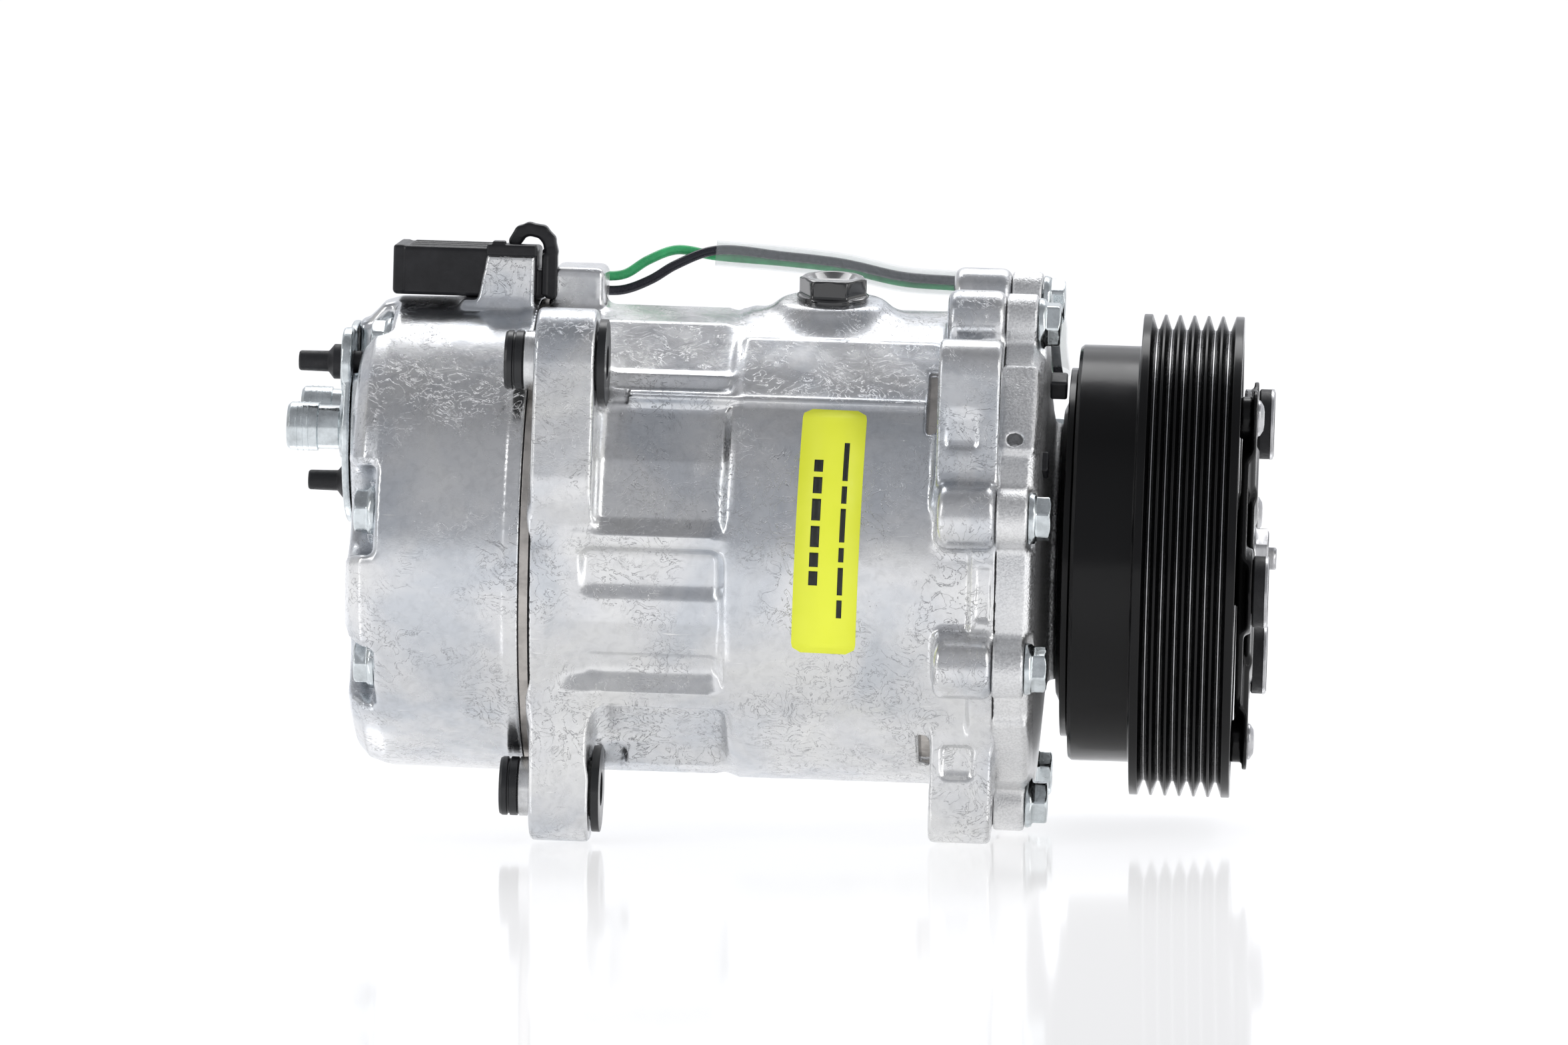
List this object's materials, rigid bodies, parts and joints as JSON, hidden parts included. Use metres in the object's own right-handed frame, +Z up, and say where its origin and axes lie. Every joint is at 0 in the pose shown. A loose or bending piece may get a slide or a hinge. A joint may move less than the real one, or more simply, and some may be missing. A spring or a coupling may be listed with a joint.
{
  "type": "automotive air-conditioning compressor",
  "caption": "Wobble-plate air-conditioning compressor for a car, with a ribbed belt pulley, electromagnetic clutch, mounting ears, coil connector and blanked hose ports.",
  "frame": {"origin": "below the middle of the compressor's length and width, level with the bottom of the lowest mounting ear", "axes": "+X along the drive shaft towards the belt pulley, +Z up as the compressor stands on its lower ears"},
  "size_m": [0.2464, 0.138, 0.1506],
  "materials": {
    "cast_aluminium": "die-cast, light silver grey with fine flow marks and smudges",
    "blasted_aluminium": "shot-blasted, fine sparkling grain",
    "machined_aluminium": "turned",
    "zinc_plated_steel": "bright zinc plating",
    "bare_steel": "ground",
    "black_painted_steel": "satin black paint",
    "black_plastic": "moulded, fine texture",
    "black_rubber": "matt",
    "gasket_rubber": "matt",
    "green_insulation": "smooth wire insulation",
    "black_insulation": "smooth wire insulation",
    "clear_sleeve": "clear flexible tube"
  },
  "bodies": {
    "housing": {"compressor_body": "cast_aluminium", "rear_head": "cast_aluminium", "front_housing": "blasted_aluminium", "port_plate": "zinc_plated_steel", "port_screw_1": "zinc_plated_steel", "port_screw_2": "zinc_plated_steel", "rear_bolt_1": "zinc_plated_steel", "rear_bolt_2": "zinc_plated_steel", "rear_bolt_3": "zinc_plated_steel", "front_bolt_1": "zinc_plated_steel", "front_bolt_2": "zinc_plated_steel", "front_bolt_3": "zinc_plated_steel", "front_bolt_4": "zinc_plated_steel", "front_bolt_5": "zinc_plated_steel", "front_bolt_6": "zinc_plated_steel", "front_bolt_7": "zinc_plated_steel", "front_bolt_8": "zinc_plated_steel", "control_valve": "bare_steel", "valve_plate": "bare_steel", "discharge_reed": "bare_steel", "suction_reed": "bare_steel", "front_shaft_bearing": "bare_steel", "rear_shaft_bearing": "bare_steel", "bearing_inner_race": "bare_steel", "guide_pin": "bare_steel", "bush_near_upper": "black_painted_steel", "bush_near_lower": "black_painted_steel", "bush_far_upper": "black_painted_steel", "oil_plug": "black_painted_steel", "field_coil": "black_painted_steel", "connector_housing": "black_plastic", "connector_hook": "black_plastic", "port_plug_1": "black_rubber", "port_plug_2": "black_rubber", "head_gasket": "gasket_rubber", "shaft_seal": "gasket_rubber", "lead_green": "green_insulation", "lead_black": "black_insulation", "lead_sleeve": "clear_sleeve"},
    "pulley": {"belt_pulley": "black_painted_steel", "bearing_outer_race": "bare_steel"},
    "ball_cage": {"bearing_balls": "bare_steel"},
    "shaft": {"drive_shaft": "bare_steel", "lug_plate": "bare_steel", "clutch_hub": "black_painted_steel", "hub_bolt": "bare_steel", "damper_1": "black_rubber", "damper_2": "black_rubber", "damper_3": "black_rubber"},
    "armature": {"armature_plate": "black_painted_steel"},
    "hinge_ball": {"hinge_ball": "bare_steel"},
    "wobble_plate": {"wobble_plate": "machined_aluminium"},
    "journal": {"journal": "bare_steel"},
    "piston_1": {"piston_1": "machined_aluminium"},
    "piston_2": {"piston_2": "machined_aluminium"},
    "piston_3": {"piston_3": "machined_aluminium"},
    "piston_4": {"piston_4": "machined_aluminium"},
    "piston_5": {"piston_5": "machined_aluminium"},
    "piston_6": {"piston_6": "machined_aluminium"},
    "piston_7": {"piston_7": "machined_aluminium"}
  },
  "joints": [
    {"name": "pulley_spin", "type": "hinge", "parent": "housing", "child": "pulley", "pos_m": [0.1, 0, 0.0727], "axis": [1, 0, 0], "continuous": true},
    {"name": "ball_cage_spin", "type": "hinge", "parent": "housing", "child": "ball_cage", "pos_m": [0.087, 0, 0.0727], "axis": [1, 0, 0], "continuous": true},
    {"name": "shaft_spin", "type": "hinge", "parent": "housing", "child": "shaft", "pos_m": [0.05, 0, 0.0727], "axis": [1, 0, 0], "continuous": true},
    {"name": "clutch_engage", "type": "slide", "parent": "shaft", "child": "armature", "axis": [-1, 0, 0], "range_m": [0, 0.0005], "stiffness_N_per_m": 8000},
    {"name": "hinge_ball_slide", "type": "slide", "parent": "housing", "child": "hinge_ball", "axis": [1, 0, 0], "range_m": [0, 0.01722]},
    {"name": "plate_tilt", "type": "hinge", "parent": "hinge_ball", "child": "wobble_plate", "pos_m": [0.001, 0, 0.0727], "axis": [0, 0.9989, -0.0476], "range_deg": [0, 26.4], "stiffness_Nm_per_rad": 1.5, "springref_deg": -11.46},
    {"name": "journal_spin", "type": "hinge", "parent": "wobble_plate", "child": "journal", "pos_m": [0.001, 0, 0.0727], "axis": [1, 0, 0], "continuous": true},
    {"name": "piston_1_stroke", "type": "slide", "parent": "housing", "child": "piston_1", "axis": [1, 0, 0], "range_m": [0, 0.02789]},
    {"name": "piston_2_stroke", "type": "slide", "parent": "housing", "child": "piston_2", "axis": [1, 0, 0], "range_m": [0, 0.01341]},
    {"name": "piston_3_stroke", "type": "slide", "parent": "housing", "child": "piston_3", "axis": [1, 0, 0], "range_m": [0, 0.00179]},
    {"name": "piston_4_stroke", "type": "slide", "parent": "housing", "child": "piston_4", "axis": [1, 0, 0], "range_m": [0, 0.00179]},
    {"name": "piston_5_stroke", "type": "slide", "parent": "housing", "child": "piston_5", "axis": [1, 0, 0], "range_m": [0, 0.01341]},
    {"name": "piston_6_stroke", "type": "slide", "parent": "housing", "child": "piston_6", "axis": [1, 0, 0], "range_m": [0, 0.02789]},
    {"name": "piston_7_stroke", "type": "slide", "parent": "housing", "child": "piston_7", "axis": [1, 0, 0], "range_m": [0, 0.03434]}
  ],
  "couplings": [
    {"joint": "ball_cage_spin", "follows": "pulley_spin", "ratio": 0.56},
    {"joint": "hinge_ball_slide", "follows": "plate_tilt", "m_per_rad": 0.037152},
    {"joint": "journal_spin", "follows": "shaft_spin", "ratio": 1},
    {"joint": "piston_1_stroke", "follows": "plate_tilt", "m_per_rad": 0.060316},
    {"joint": "piston_2_stroke", "follows": "plate_tilt", "m_per_rad": 0.028885},
    {"joint": "piston_3_stroke", "follows": "plate_tilt", "m_per_rad": 0.003679},
    {"joint": "piston_4_stroke", "follows": "plate_tilt", "m_per_rad": 0.003679},
    {"joint": "piston_5_stroke", "follows": "plate_tilt", "m_per_rad": 0.028885},
    {"joint": "piston_6_stroke", "follows": "plate_tilt", "m_per_rad": 0.060316},
    {"joint": "piston_7_stroke", "follows": "plate_tilt", "m_per_rad": 0.074304}
  ]
}
